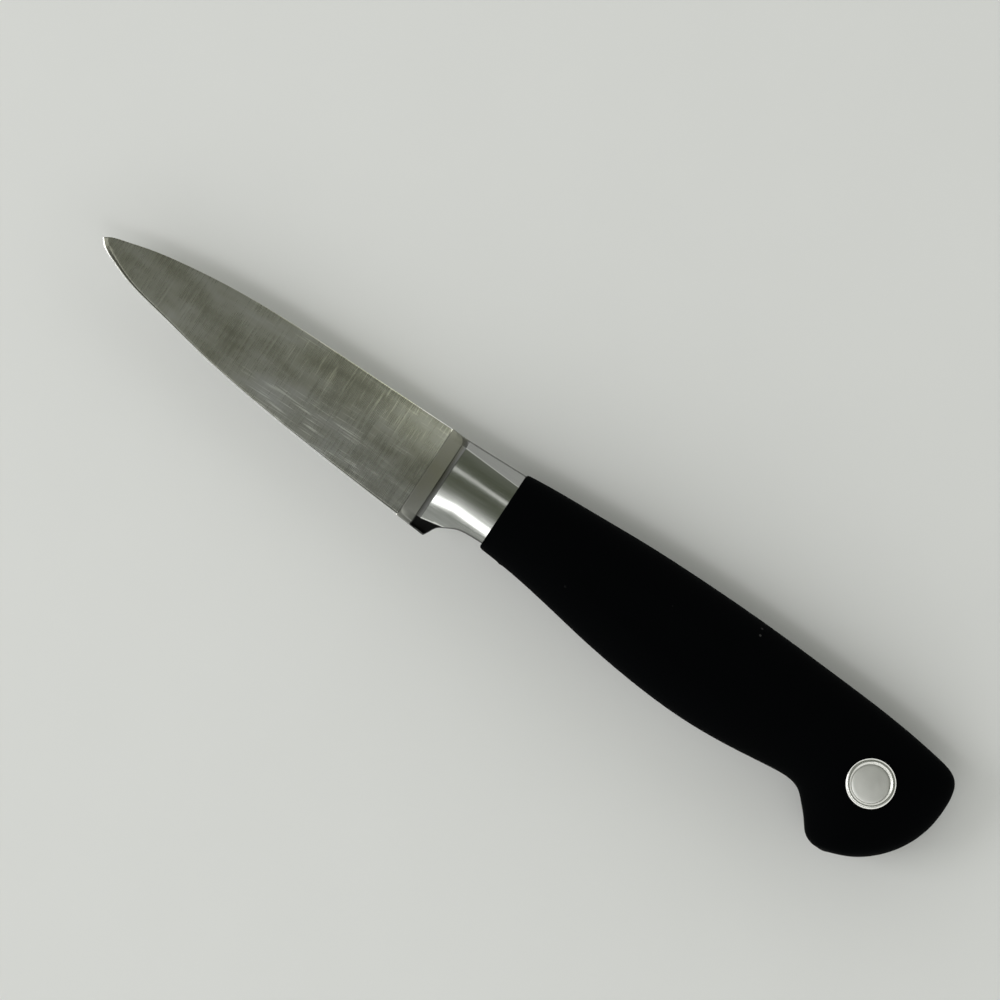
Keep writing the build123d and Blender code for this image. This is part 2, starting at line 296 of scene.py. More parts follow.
class ForgingShape:
    """Side view and half thickness of the blade, bolster and tang.

    It is drawn from the bolster's rear face, the blade's spine line and the middle plane.
    """

    def __init__(self):
        knife = settings()
        self.blade = knife.blade
        self.bolster = knife.bolster
        self.tang = knife.tang
        self.heel = -self.bolster.heel_setback
        self.tip = self.heel - self.blade.reach
        self.neck = -self.bolster.neck_length
        self.ridge = self.neck - self.bolster.rear_slope
        self.root = self.ridge - self.bolster.front_slope
        self.spine_line = self.outline([TIP_SHARE] + SPINE_SHARES)
        self.edge_line = self.outline([TIP_SHARE] + EDGE_SHARES)
        notch = [(self.heel * (1 - along), -down * self.blade.depth) for along, down in NOTCH_SHARES]
        self.notch_line = SmoothCurve(notch).sampled()
        slope = np.gradient(self.edge_line[:, 1], self.edge_line[:, 0])
        self.edge_lean = 1 / np.sqrt(1 + slope ** 2)
        self.sections = np.array([FLANGE_ROOT, FLANGE_RIDGE, NECK_FRONT, NECK_REAR]) * MM
        self.side_plane = self.ground_side()
        self.tang_ends()

    def outline(self, shares):
        reach, depth = self.blade.reach, self.blade.depth
        points = [(self.tip + along * reach, -down * depth) for along, down in shares]
        return SmoothCurve(points).sampled()

    def ground_side(self):
        """Constant, slope along x and slope along y of the ground side's half thickness."""
        corners = [(self.ridge, 0, self.blade.spine_thickness / 2),
                   (self.ridge, -self.blade.depth, self.blade.edge_thickness / 2),
                   (self.tip, -TIP_SHARE[1] * self.blade.depth, self.blade.tip_thickness / 2)]
        table = np.array([(1, x, y) for x, y, _ in corners])
        return np.linalg.solve(table, [half for _, _, half in corners])

    def tang_ends(self):
        grip = settings().grip
        spine_end = grip.crest_rise - RIB_SHARES[0][1] * grip.depth
        belly_end = grip.crest_rise - RIB_SHARES[0][3] * grip.depth
        rivet = rivet_middle() - drawing_origin()
        half = (spine_end - belly_end) / 2 - self.tang.front_cover
        self.tang_front = ((spine_end + belly_end) / 2, half)
        self.tang_rear = (rivet.y, self.tang.rear_height / 2)
        self.tang_end = rivet.x + self.tang.past_rivet

    def top(self, x):
        """Height of the spine's outline at each x."""
        blade = np.interp(x, self.spine_line[:, 0], self.spine_line[:, 1])
        bolster = self.section_value("top", x)
        middle, half = self.tang_span(x)
        return np.select([x < self.root, x <= 0], [blade, bolster], middle + half)

    def bottom(self, x):
        """Height of the lower outline at each x: the edge, the heel and the notch."""
        edge_x = np.append(self.edge_line[:, 0], self.heel)
        edge = np.interp(x, edge_x, np.append(self.edge_line[:, 1], -self.blade.depth))
        notch = np.interp(x, self.notch_line[:, 0], self.notch_line[:, 1])
        middle, half = self.tang_span(x)
        return np.select([x < self.heel, x <= 0], [edge, notch], middle - half)

    def tang_span(self, x):
        """Middle and half height of the tang at each x."""
        along = x / self.tang_end
        middle, half = (front + along * (rear - front)
                        for front, rear in zip(self.tang_front, self.tang_rear))
        into_corner = np.clip(x - (self.tang_end - self.tang.corner), 0, self.tang.corner)
        return middle, half - self.tang.corner + np.sqrt(self.tang.corner ** 2 - into_corner ** 2)

    def section_value(self, key, x):
        places = [self.root, self.ridge, self.neck, 0]
        return np.interp(x, places, self.sections[:, SECTION_KEYS.index(key)])

    def ground_half(self, x, y):
        start, along, up = self.side_plane
        return start + along * x + up * y

    def bevel_half(self, x, y):
        """Half thickness under the edge's bevel, which runs out at the heel."""
        lean = np.interp(x, self.edge_line[:, 0], self.edge_lean)
        height = (y - self.bottom(x)) * lean
        run_out = np.clip((x - self.edge_line[-1, 0]) / self.blade.bevel_end, 0, 1)
        bevel = self.blade.edge_land / 2 + np.tan(self.blade.bevel_angle) * np.maximum(height, 0)
        return bevel + run_out * self.blade.edge_thickness

    def bolster_half(self, x, y):
        """Half thickness of the bolster: spine facet, convex side, and slope down to the foot."""
        crest_y, foot_y = -self.bolster.crest_depth, -self.bolster.foot_depth
        belly_y = self.belly_line(x)
        x = self.behind_shoulder(x, y)
        top, spine, drop, facet, crest, belly = (self.section_value(key, x) for key in SECTION_KEYS)
        facet_y = top - drop
        on_facet = spine + (top - y) / drop * (facet - spine)
        on_side = arc_height(y, (facet_y, facet), (crest_y, crest), (belly_y, belly))
        to_foot = np.clip((belly_y - y) / (belly_y - foot_y), 0, 1)
        on_slope = belly + to_foot * (self.bolster.foot_half_width - belly)
        half = np.select([y > facet_y, y > belly_y], [on_facet, on_side], on_slope)
        return np.where(x < self.root, 0, half)

    def belly_line(self, x):
        """Height where the side turns in to the foot, which rises toward the notch."""
        past_neck = np.clip((x - self.neck) / (self.heel - self.neck), 0, 2)
        return -self.bolster.belly_depth + self.bolster.foot_rise * past_neck

    def behind_shoulder(self, x, y):
        """Where the section at x and y is taken: further back near the spine, by the flange."""
        radius = self.bolster.shoulder
        into = np.clip(radius + y, 0, radius)
        back = radius - np.sqrt(radius ** 2 - into ** 2)
        front, rear = self.ridge - radius, self.neck + radius
        fade = smooth_step(x, front - radius, front) * (1 - smooth_step(x, self.neck, rear))
        return x + back * fade

    def heel_facet_half(self, x, y):
        """Half thickness of the small facet between the blade's side and the flange, by the heel."""
        down = -self.bolster.facet_depth - y
        full = self.bolster.foot_depth - self.bolster.facet_depth
        lift = self.bolster.facet_rise / self.bolster.facet_width * down / full
        near = (x > self.root) & (x < self.ridge)
        return np.where(near, self.ground_half(x, y) + lift * (x - self.root), 0)

    def half(self, x, y):
        blade = np.minimum(self.ground_half(x, y), self.bevel_half(x, y))
        forged = np.maximum(np.maximum(blade, self.heel_facet_half(x, y)), self.bolster_half(x, y))
        return np.where(x < self.heel, forged, np.maximum(self.bolster_half(x, y), 0))

    def softened_half(self, x, y):
        """Half thickness averaged over a small square, which rounds the creases."""
        shifts = np.array([-1, -0.5, 0, 0.5, 1]) * self.bolster.crease_round
        total = sum(self.half(np.minimum(x + dx, 0), y + dy) for dx in shifts for dy in shifts)
        least = self.blade.edge_land / 2
        forged = np.maximum(total / len(shifts) ** 2, least)
        return np.where(x > 0, self.tang.thickness / 2, forged)


def arc_height(y, first, middle, last):
    """Height at y of the arc through three points, each a place along y and a height."""
    y1, h1, y3, h3 = (end[k] - middle[k] for end in (first, last) for k in (0, 1))
    square1, square3 = y1 ** 2 + h1 ** 2, y3 ** 2 + h3 ** 2
    twice_area = 2 * (y1 * h3 - y3 * h1)
    centre_y = (square1 * h3 - square3 * h1) / twice_area
    centre_h = (square3 * y1 - square1 * y3) / twice_area
    rise_squared = centre_y ** 2 + centre_h ** 2 - (y - middle[0] - centre_y) ** 2
    return middle[1] + centre_h + np.sqrt(np.maximum(rise_squared, 0))


def drawing_origin():
    """The bolster's rear face, the blade's spine line and the middle plane, in the frame."""
    knife = settings()
    low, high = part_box("blade")
    back = knife.blade.reach + knife.bolster.heel_setback
    return Vector((low.x + back, low.y + knife.blade.depth, (low.z + high.z) / 2))


def rivet_middle():
    low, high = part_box("rivet_sleeve")
    middle = (low + high) / 2
    return Vector((middle.x, middle.y, drawing_origin().z))


def new_object(name, data):
    obj = bpy.data.objects.new(name, data)
    bpy.context.scene.collection.objects.link(obj)
    return obj


def mesh_object(name, points, faces):
    mesh = bpy.data.meshes.new(name)
    mesh.from_pydata([tuple(point) for point in points], [], faces)
    obj = new_object(name, mesh)
    shape = bmesh.new()
    shape.from_mesh(mesh)
    bmesh.ops.recalc_face_normals(shape, faces=shape.faces)
    shape.to_mesh(mesh)
    shape.free()
    return obj


def ring_object(name, rings):
    """Closed body through rings, an array of points by ring and place round it, both ends capped."""
    count, around, _ = rings.shape
    faces = [tuple(range(around)), tuple(range((count - 1) * around, count * around))]
    for start in range(0, (count - 1) * around, around):
        for k in range(around):
            here, beside = start + k, start + (k + 1) % around
            faces.append((here, beside, beside + around, here + around))
    return mesh_object(name, rings.reshape(-1, 3), faces)


def lathe_object(name, middle, profile, sides):
    """Body turned about an upright axis from (radius, height) points, both ends capped."""
    turns = 2 * math.pi * np.arange(sides) / sides
    around = np.column_stack([np.cos(turns), np.sin(turns), np.zeros(sides)])
    rings = [np.array([middle.x, middle.y, height]) + radius * around for radius, height in profile]
    return ring_object(name, np.array(rings))


def cut_away(obj, cutters):
    """Cuts the closed bodies out of obj and removes them."""
    for cutter in cutters:
        cut = obj.modifiers.new("cut", "BOOLEAN")
        cut.operation = "DIFFERENCE"
        cut.solver = "EXACT"
        cut.object = cutter
    evaluated = obj.evaluated_get(bpy.context.evaluated_depsgraph_get())
    mesh = bpy.data.meshes.new_from_object(evaluated)
    if len(mesh.polygons) < len(obj.data.polygons) / 2:
        raise RuntimeError(f"cutting {obj.name} lost most of its faces")
    obj.modifiers.clear()
    obj.data = mesh
    for cutter in cutters:
        bpy.data.objects.remove(cutter)


def shade(obj, angle):
    """Smooth shading, broken at edges sharper than the angle in degrees."""
    obj.data.shade_smooth()
    obj.data.set_sharp_from_angle(angle=math.radians(angle))


def dress(obj, material, slot, *nodes):
    """Gives a piece its material, hangs it under the root body and hides the nodes it stands in for;
    slot is not used.
    """
    obj.data.materials.clear()
    obj.data.materials.append(material)
    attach(obj, "root")
    if nodes:
        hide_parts(*nodes)


def smooth_step(values, start, end):
    t = np.clip((values - start) / (end - start), 0, 1)
    return t * t * (3 - 2 * t)


def forging_stations(shape):
    """Places of the rings along the blade and bolster, and along the tang."""
    landmarks = (shape.tip, shape.tip, shape.root, shape.ridge, shape.neck)
    starts = [landmark + past for landmark, (past, _) in zip(landmarks, RING_SPANS)] + [0]
    stations = [np.linspace(start, end, round((end - start) / step), endpoint=False)
                for start, end, (_, step) in zip(starts, starts[1:], RING_SPANS)]
    corner = shape.tang_end - shape.tang.corner
    turns = np.linspace(0, math.pi / 2, 9)[1:]
    rounded = corner + shape.tang.corner * np.sin(turns) * LAST_RING_SHARE
    tang = np.concatenate([[HAIR], np.linspace(0, corner, 12)[1:], rounded])
    return np.concatenate(stations + [[0]]), tang


def forging_rings(shape, x):
    """Closed rings across the forging at each x, from the spine down one side and up the other."""
    top, bottom = shape.top(x), shape.bottom(x)
    depth = top - bottom
    on_neck = smooth_step(x, shape.root, shape.neck)
    corner = shape.blade.spine_round * (1 - on_neck) + shape.bolster.corner_round * on_neck
    corner = np.minimum(corner, depth * CORNER_DEPTH_SHARE)

    def corner_points(outline, inward):
        """Points round one corner, from the middle plane's side to the knife's side."""
        at_corner = shape.softened_half(x, outline)
        reach = np.minimum(corner, CORNER_WIDTH_SHARE * at_corner)
        start = np.stack([outline, at_corner - reach])
        bend = np.stack([outline, at_corner])
        end_y = outline + inward * reach
        end = np.stack([end_y, shape.softened_half(x, end_y)])
        steps = np.linspace(0, 1, 6)
        arc = [(1 - s) ** 2 * start + 2 * s * (1 - s) * bend + s ** 2 * end for s in steps]
        return [np.stack([outline, np.zeros_like(x)])] + arc

    upper = corner_points(top, -1)
    lower = corner_points(bottom, 1)
    turns = np.linspace(0, 1, shape.blade.rows)[1:-1]
    downs = EVEN_SHARE * turns + (1 - EVEN_SHARE) * (1 - np.cos(math.pi * turns)) / 2
    side = []
    for down in downs:
        y = upper[-1][0] + down * (lower[-1][0] - upper[-1][0])
        side.append(np.stack([y, shape.softened_half(x, y)]))
    half = np.array(upper + side + lower[::-1])
    other = half[-2:0:-1] * np.array([1, -1])[None, :, None]
    ring = np.concatenate([half, other])
    along = np.broadcast_to(x, (len(ring), len(x)))
    return np.stack([along, ring[:, 0], ring[:, 1]], axis=-1).transpose(1, 0, 2)


class KNIFE_OT_forging(Operator):
    """Blade, bolster and tang: one forging, ground and polished"""
    bl_idname = "paring_knife.forging"
    bl_label = "Forged blade"

    def execute(self, context):
        shape = ForgingShape()
        origin = drawing_origin()
        outer, tang = forging_stations(shape)
        rings = np.concatenate([forging_rings(shape, outer), forging_rings(shape, tang)])
        steel = ring_object("forged_blade", rings + np.array(origin))
        cut_away(steel, list(self.holes(shape, origin)))
        shade(steel, 32)
        self.store_places(steel, shape, origin)
        dress(steel, forged_steel(), "forged_steel", "blade")
        return {"FINISHED"}

    @staticmethod
    def holes(shape, origin):
        """Closed bodies for the two peg holes and the rivet's hole."""
        tang = shape.tang
        holes = [(along * shape.tang_end, tang.hole) for along in LOCK_HOLE_SHARES]
        for along, width in holes + [(shape.tang_end - tang.past_rivet, tang.rivet_hole)]:
            centre = origin + Vector((along, shape.tang_span(along)[0], 0))
            profile = [(width / 2, centre.z - tang.thickness), (width / 2, centre.z + tang.thickness)]
            yield lathe_object("hole", centre, profile, tang.hole_sides)

    @staticmethod
    def store_places(steel, shape, origin):
        """Marks at each point which part of the forging it is on, and where shade is painted in the
        notch's corner, for the material to read.
        """
        x, y, _ = (np.array([vertex.co for vertex in steel.data.vertices]) - np.array(origin)).T
        from_edge = y - shape.bottom(x)
        from_spine = shape.top(x) - y
        bevel = shape.ground_half(x, y) - shape.bevel_half(x, y)

        def past(places, mark):
            return smooth_step(places, mark - MARK_FADE, mark + MARK_FADE)

        on_blade = 1 - past(x, shape.root)
        past_ridge = past(shape.behind_shoulder(x, y), shape.ridge)
        past_slope = past(x, shape.neck)
        past_facet = past(from_spine - shape.section_value("facet_drop", x), 0)
        # Painted shade in the notch's corner: below the belly line, behind the ridge, short of the
        # notch's edge and of the handle
        corner_shade = smooth_step(shape.belly_line(x) - y, -MARK_FADE / 2, MARK_FADE)
        corner_shade *= smooth_step(x, shape.ridge, shape.ridge + CORNER_FADE)
        corner_shade *= smooth_step(from_edge, LIT_STRIP, LIT_STRIP + CORNER_FADE)
        corner_shade *= 1 - smooth_step(x, -2 * CORNER_FADE, 0)
        marks = {
            "from_edge": from_edge,
            "from_spine": from_spine,
            "bevel": smooth_step(bevel, 0, BEVEL_FADE) * on_blade,
            "on_blade": on_blade,
            "on_band": (1 - on_blade) * (1 - past_ridge),
            "on_rear": past_ridge * (1 - past_slope),
            "on_facet": past_slope * (1 - past_facet),
            "on_neck": smooth_step(x, shape.ridge, shape.neck),
            "corner_shade": corner_shade,
        }
        for name, values in marks.items():
            layer = steel.data.attributes.new(name, "FLOAT", "POINT")
            layer.data.foreach_set("value", np.asarray(values, np.float32))


def rib_turns(quarter_steps, bead_share, power):
    """Turns round a rib, closer together by the parting bead."""
    near = [math.asin((bead_share * k) ** (power / 2)) for k in (0, 0.6, 1, 1.6, 3)]
    rest = np.linspace(near[-1], math.pi / 2, quarter_steps)[1:]
    quarter = np.concatenate([near, rest])
    half = np.concatenate([quarter, math.pi - quarter[-2::-1]])
    return np.concatenate([half, math.pi + half[1:-1]])


class GripShape:
    """Rings round the handle, drawn from the same origin as the forging."""

    def __init__(self):
        self.sizes = settings().grip
        self.curve = SmoothCurve([self.rib(shares) for shares in RIB_SHARES])
        self.turns = rib_turns(20, self.sizes.bead_share, self.sizes.section_power)

    def rib(self, shares):
        """Spine end, belly end and half thickness of a rib."""
        spine_along, spine_down, belly_along, belly_down, thickness = shares
        sizes = self.sizes
        return (spine_along * sizes.reach, sizes.crest_rise - spine_down * sizes.depth,
                belly_along * sizes.reach, sizes.crest_rise - belly_down * sizes.depth,
                thickness * (sizes.thickness / 2 + sizes.side_crown))

    def ring(self, rib, inset=0, forward=0, bead=0):
        """One ring: an oval between the rib's ends, its sides eased onto the flats."""
        sizes = self.sizes
        spine, belly = rib[0:2], rib[2:4]
        middle, half = (spine + belly) / 2, (spine - belly) / 2
        reach = np.linalg.norm(half)
        outward = half / reach
        across, up = (np.sign(wave) * np.abs(wave) ** (2 / sizes.section_power)
                      for wave in (np.cos(self.turns), np.sin(self.turns)))
        height = (rib[4] - inset) * up
        proud = bead * (1 - smooth_step(np.abs(up), 0.6 * sizes.bead_share, sizes.bead_share))
        place = middle + outward * (((reach - inset) * across) + np.sign(across) * proud)[:, None]
        gate = np.exp(-((place[:, 0] - sizes.gate_setback) ** 2 + height ** 2) / sizes.gate_radius ** 2)
        place = place - outward * (gate * sizes.gate_height * (bead > 0) * (across < 0))[:, None]
        flat = sizes.thickness / 2 - inset
        eased = flat - sizes.flat_ease * np.logaddexp(0, (flat - np.abs(height)) / sizes.flat_ease)
        return np.column_stack([place[:, 0] + forward, place[:, 1], np.sign(height) * eased])

    def ribs(self, last, steps):
        distances = [np.linspace(a, b, steps, endpoint=False)
                     for a, b in zip(self.curve.knots[:last], self.curve.knots[1:last + 1])]
        return self.curve.at(np.append(np.concatenate(distances), self.curve.knots[last]))

    def outer_rings(self):
        sizes = self.sizes
        ribs = self.ribs(len(RIB_SHARES) - 1, sizes.steps)
        lip = [self.ring(ribs[0], sizes.lip * (1 - math.sin(t)), sizes.lip * (1 - math.cos(t)))
               for t in np.linspace(0, math.pi / 2, 7)]
        body = [self.ring(rib, bead=sizes.bead_height) for rib in ribs if rib[0] > sizes.lip]
        return np.array(lip + body + self.end_rings(body[-1], body[-2]))

    def end_rings(self, last, before):
        """Rings that draw the last one in to a small rounded end."""
        middle = last.mean(axis=0)
        outward = middle - before.mean(axis=0)
        outward /= np.linalg.norm(outward)
        outward *= self.sizes.end_round
        turns = np.linspace(0, math.pi / 2, 6)[1:-1]
        return [middle + (last - middle) * math.cos(t) + outward * math.sin(t) for t in turns]

    def inner_rings(self):
        """Rings round the space for the core, which starts in front of the handle."""
        ribs = self.ribs(CORE_RIBS - 1, 3)
        first = self.ring(ribs[0], self.sizes.wall, forward=-OVERRUN)
        return np.array([first] + [self.ring(rib, self.sizes.wall) for rib in ribs])


def turned_space(node, clearance):
    """Closed body round a turned node, with a clearance, reaching past its outer face."""
    low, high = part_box(node)
    radius = (high.x - low.x) / 2 + clearance
    in_front = high.z > drawing_origin().z
    profile = [(radius, low.z - OVERRUN * (not in_front)), (radius, high.z + OVERRUN * in_front)]
    return lathe_object("space_for_" + node, (low + high) / 2, profile, settings().medallion.sides)


def rivet_space():
    low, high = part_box("rivet_sleeve")
    bottom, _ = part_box("rivet_post")
    profile = [((high.x - low.x) / 2, z) for z in (bottom.z, high.z)]
    return lathe_object("space_for_rivet", rivet_middle(), profile, settings().medallion.rivet_sides)


class KNIFE_OT_soft_grip(Operator):
    """Soft skin of the handle, moulded over its core, with pockets for the rivet's covers"""
    bl_idname = "paring_knife.soft_grip"
    bl_label = "Soft grip"

    def execute(self, context):
        shape = GripShape()
        origin = np.array(drawing_origin())
        low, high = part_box("soft_grip")
        grip = ring_object("grip_skin", np.clip(shape.outer_rings() + origin, low, high))
        clearance = settings().medallion.clearance
        cutters = [ring_object("space_for_core", shape.inner_rings() + origin)]
        cutters += [turned_space(node, clearance) for node in ("medallion_front", "medallion_back")]
        cutters.append(rivet_space())
        cut_away(grip, cutters)
        shade(grip, 40)
        dress(grip, soft_rubber(), "soft_grip", "soft_grip")
        return {"FINISHED"}


# Profile of a rivet's cover: shares of its radius, and of the depth of its dish below the rim's top
COVER_SHARES = [
    (1.000, 1.60), (0.997, 1.10), (0.975, 0.55), (0.930, 0.14), (0.880, 0.00), (0.835, 0.10),
    (0.810, 0.42), (0.790, 0.80), (0.765, 0.96), (0.740, 0.90), (0.700, 0.78), (0.600, 0.66),
    (0.400, 0.52), (0.200, 0.44), (0.008, 0.42),
]
# Radii of the cover's hidden back face and of its chamfer's inner corner
COVER_BACK_SHARES = (0.9, 0.985)


class KNIFE_OT_medallions(Operator):
    """Polished covers of the rivet, one on each side of the handle"""
    bl_idname = "paring_knife.medallions"
    bl_label = "Rivet covers"

    def execute(self, context):
        material = cover_steel()
        for side, node in ((1, "medallion_front"), (-1, "medallion_back")):
            cover = self.cover(side, node)
            shade(cover, 50)
            dress(cover, material, "medallion_steel", node)
        return {"FINISHED"}

    @staticmethod
    def cover(side, node):
        low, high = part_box(node)
        radius = (high.x - low.x) / 2
        face, back = (high.z, low.z) if side > 0 else (low.z, high.z)
        sizes = settings().medallion
        dished = [(along * radius, face - side * down * sizes.dish) for along, down in COVER_SHARES]
        profile = [(radius * along, back) for along in COVER_BACK_SHARES]
        profile.append((radius, back + side * sizes.chamfer))
        profile += [tuple(point) for point in SmoothCurve(dished).sampled(90)]
        name = node.replace("medallion", "rivet_cover")
        return lathe_object(name, (low + high) / 2, profile, sizes.sides)


class KNIFE_OT_inner_parts(Operator):
    """Finishes of the core and the rivet, which stay as they are in the frame"""
    bl_idname = "paring_knife.inner_parts"
    bl_label = "Core and rivet"

    def execute(self, context):
        plastic, steel = core_plastic(), turned_steel()
        for node in ("core_scale_front", "core_scale_back", "rivet_sleeve", "rivet_post"):
            material, slot = (plastic, "core_plastic") if "core" in node else (steel, "rivet_steel")
            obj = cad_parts[node]
            for place in obj.material_slots:
                place.material = material
        return {"FINISHED"}


def sums(operation):
    """An operator between a signal and a signal or number, and its reflected form."""
    return (lambda signal, other: signal.graph.math(operation, signal, other),
            lambda signal, other: signal.graph.math(operation, other, signal))


class Signal:
    """A socket of a shader node, on which Python's sums add nodes."""

    def __init__(self, graph, socket):
        self.graph = graph
        self.socket = socket

    __add__, __radd__ = sums("ADD")
    __sub__, __rsub__ = sums("SUBTRACT")
    __mul__, __rmul__ = sums("MULTIPLY")

    def between(self, low, high):
        """0 below low, 1 above high and a smooth rise between."""
        return self.graph.node("ShaderNodeMapRange", {"interpolation_type": "SMOOTHSTEP"},
                               {"Value": self, "From Min": low, "From Max": high})


class Graph:
    """Nodes of one material or world."""

    def __init__(self, owner):
        owner.use_nodes = True
        self.owner = owner
        self.tree = owner.node_tree
        self.tree.nodes.clear()

    def node(self, kind, options=None, inputs=None, output=0):
        """Adds a node, sets its options and then its sockets, and gives one of its outputs."""
        made = self.tree.nodes.new(kind)
        for key, value in (options or {}).items():
            setattr(made, key, value)
        for key, value in (inputs or {}).items():
            if isinstance(value, Signal):
                self.tree.links.new(value.socket, made.inputs[key])
            else:
                made.inputs[key].default_value = value
        return Signal(self, made.outputs[output]) if made.outputs else made

    def ramp(self, factor, stops):
        """Runs through stops, each a place from 0 to 1 and a colour, the first one at 0."""
        made = self.node("ShaderNodeValToRGB", {}, {0: factor})
        elements = made.socket.node.color_ramp.elements
        elements.remove(elements[1])
        elements[0].color = (*stops[0][1], 1.0)
        for place, tint in stops[1:]:
            elements.new(place).color = (*tint, 1.0)
        return made

    def math(self, operation, first, second):
        return self.node("ShaderNodeMath", {"operation": operation}, {0: first, 1: second})

    def attribute(self, name):
        return self.node("ShaderNodeAttribute", {"attribute_name": name}, output="Fac")

    def vector_math(self, operation, first, second):
        return self.node("ShaderNodeVectorMath", {"operation": operation}, {0: first, 1: second})

    def axis(self, vector, name):
        return self.node("ShaderNodeSeparateXYZ", {}, {0: vector}, output=name)

    def noise(self, place, scales, detail, rough):
        """Noise with so many waves per metre along each axis."""
        inputs = {"Vector": self.vector_math("MULTIPLY", place, scales), "Scale": 1.0, "Detail": detail,
                  "Roughness": rough}
        return self.node("ShaderNodeTexNoise", {}, inputs)

    def mix(self, factor, first, second, blend="MIX"):
        """Mixes two colours, given as signals or as red, green and blue."""
        colors = [value if isinstance(value, Signal) else (*value, 1.0) for value in (first, second)]
        return self.node("ShaderNodeMix", {"data_type": "RGBA", "blend_type": blend},
                         {0: factor, 6: colors[0], 7: colors[1]}, output=2)

    def tinted(self, base, amount):
        """Base colour made lighter or darker by a signal round 1."""
        grey = self.node("ShaderNodeCombineColor", {}, {0: amount, 1: amount, 2: amount})
        return self.mix(1.0, base, grey, "MULTIPLY")

    def surface(self, base, rough, bump=None, others=None):
        """Ends the material in one shader. bump holds a height and the distance it stands for."""
        inputs = {"Base Color": base, "Roughness": rough, **(others or {})}
        if bump:
            inputs["Normal"] = self.node("ShaderNodeBump", {}, {"Height": bump[0], "Distance": bump[1]})
        shader = self.node("ShaderNodeBsdfPrincipled", {}, inputs)
        self.node("ShaderNodeOutputMaterial", {}, {"Surface": shader})
        return self.owner


def new_material(name):
    """Graph of a new material, the place on the object in metres, and the colours' settings."""
    graph = Graph(bpy.data.materials.new(name))
    return graph, graph.node("ShaderNodeTexCoord", output="Object"), settings().finish


def forged_steel():
    """Satin ground blade with crossing and lengthwise scratches, and a polished bolster, with painted
    sheen and highlights on the blade and painted shade on the bevel, the flange, the neck and the
    notch's corner.
    """
    graph, place, finish = new_material("forged_steel")
    along = graph.axis(place, "X")
    from_edge, from_spine, bevel = map(graph.attribute, ("from_edge", "from_spine", "bevel"))
    on_blade, on_band, on_rear = map(graph.attribute, ("on_blade", "on_band", "on_rear"))
    on_neck, on_facet, corner_shade = map(graph.attribute, ("on_neck", "on_facet", "corner_shade"))

    rearward = along.between(-85 * MM, -25 * MM)
    low = 1 - from_edge.between(3 * MM, 13 * MM)
    high = 1 - from_spine.between(2 * MM, 11 * MM)
    by_spine = 1 - from_spine.between(1.2 * MM, 3 * MM)
    cloudy = graph.noise(place, (45, 120, 60), 3, 0.6)
    cross_grind = graph.noise(place, (3000, 90, 200), 3, 0.65)
    lengthwise = graph.noise(place, (90, 2600, 1200), 3, 0.65)
    long_scratches = graph.noise(place, (150, 3800, 1500), 1, 0.4).between(0.56, 0.72)
    long_scratches = long_scratches * cloudy.between(0.40, 0.58) * (0.45 + low + by_spine) * rearward
    cross_scratches = graph.noise(place, (3800, 130, 900), 1, 0.4).between(0.58, 0.74)
    cross_scratches = cross_scratches * (0.12 + 0.9 * high * rearward)
    cross_scratches = cross_scratches * (1 - cloudy.between(0.52, 0.66))
    scratches = (long_scratches + cross_scratches) * on_blade

    rubbed = (low + by_spine) * rearward
    # Painted sheen: the blade is lighter toward the spine, most over the last stretch before the
    # bolster
    band_sheen = (0.4 * rearward + along.between(-42 * MM, -27 * MM)) * high
    # Painted highlight along the spine's corner, toward the bolster
    spine_line = (1 - from_spine.between(0.12 * MM, 0.26 * MM)) * rearward
    blade_tone = 0.38 + 0.55 * (cloudy - 0.5) + 0.15 * (cross_grind - 0.5) + 0.04 * rubbed
    blade_tone = blade_tone + 0.28 * band_sheen
    blade_tone = blade_tone + 0.30 * (lengthwise - 0.5) * rubbed + 0.42 * scratches + 1.1 * spine_line
    # Painted shade darkens the bevel, and honed is a painted highlight along the edge
    honed = bevel * (1 - from_edge.between(0.22 * MM, 0.32 * MM))
    blade_tone = blade_tone * (1 - 0.6 * bevel) + 1.8 * honed
    # Painted shade: the flange's front slope is darker than the neck, and darker still where it meets
    # the blade and at its ridge
    crease = 4 * on_band * (1 - on_band)
    blade_tone = (blade_tone * (1 - on_band) + 0.28 * on_band) * (1 - 0.8 * crease)
    neck_tone = 0.97 + 0.22 * (lengthwise - 0.5)
    # Painted shade along the neck's lower edge
    neck_tone = neck_tone * (0.10 + 0.90 * from_edge.between(0.15 * MM, 0.45 * MM))
    amount = blade_tone * (1 - on_neck) + neck_tone * on_neck
    # Painted shade on the flange's rear slope and on the neck's spine facet
    amount = amount * (1 - 0.8 * on_rear) * (1 - 0.70 * on_facet)
    blue_share = 0.22 + 0.5 * low * rearward + 2.0 * (cloudy - 0.5) + on_neck
    hue = graph.mix(blue_share, finish.olive_steel, finish.steel)
    # Painted shade in the notch's corner
    base = graph.mix(corner_shade, graph.tinted(hue, amount), finish.notch_shade)

    blade_rough = 0.28 + 0.12 * (cross_grind - 0.5) + 0.08 * (cloudy - 0.5)
    blade_rough = blade_rough - 0.06 * bevel + 0.2 * on_band
    neck_rough = 0.13 + 0.14 * (lengthwise - 0.5)
    rough = blade_rough * (1 - on_neck) + neck_rough * on_neck + 0.5 * corner_shade

    blade_height = 0.6 * cross_grind + 0.5 * lengthwise * rubbed - 0.5 * scratches
    height = blade_height * (1 - on_neck) + 0.3 * lengthwise * on_neck
    return graph.surface(base, rough, (height, 0.008 * MM), {"Metallic": 1.0})


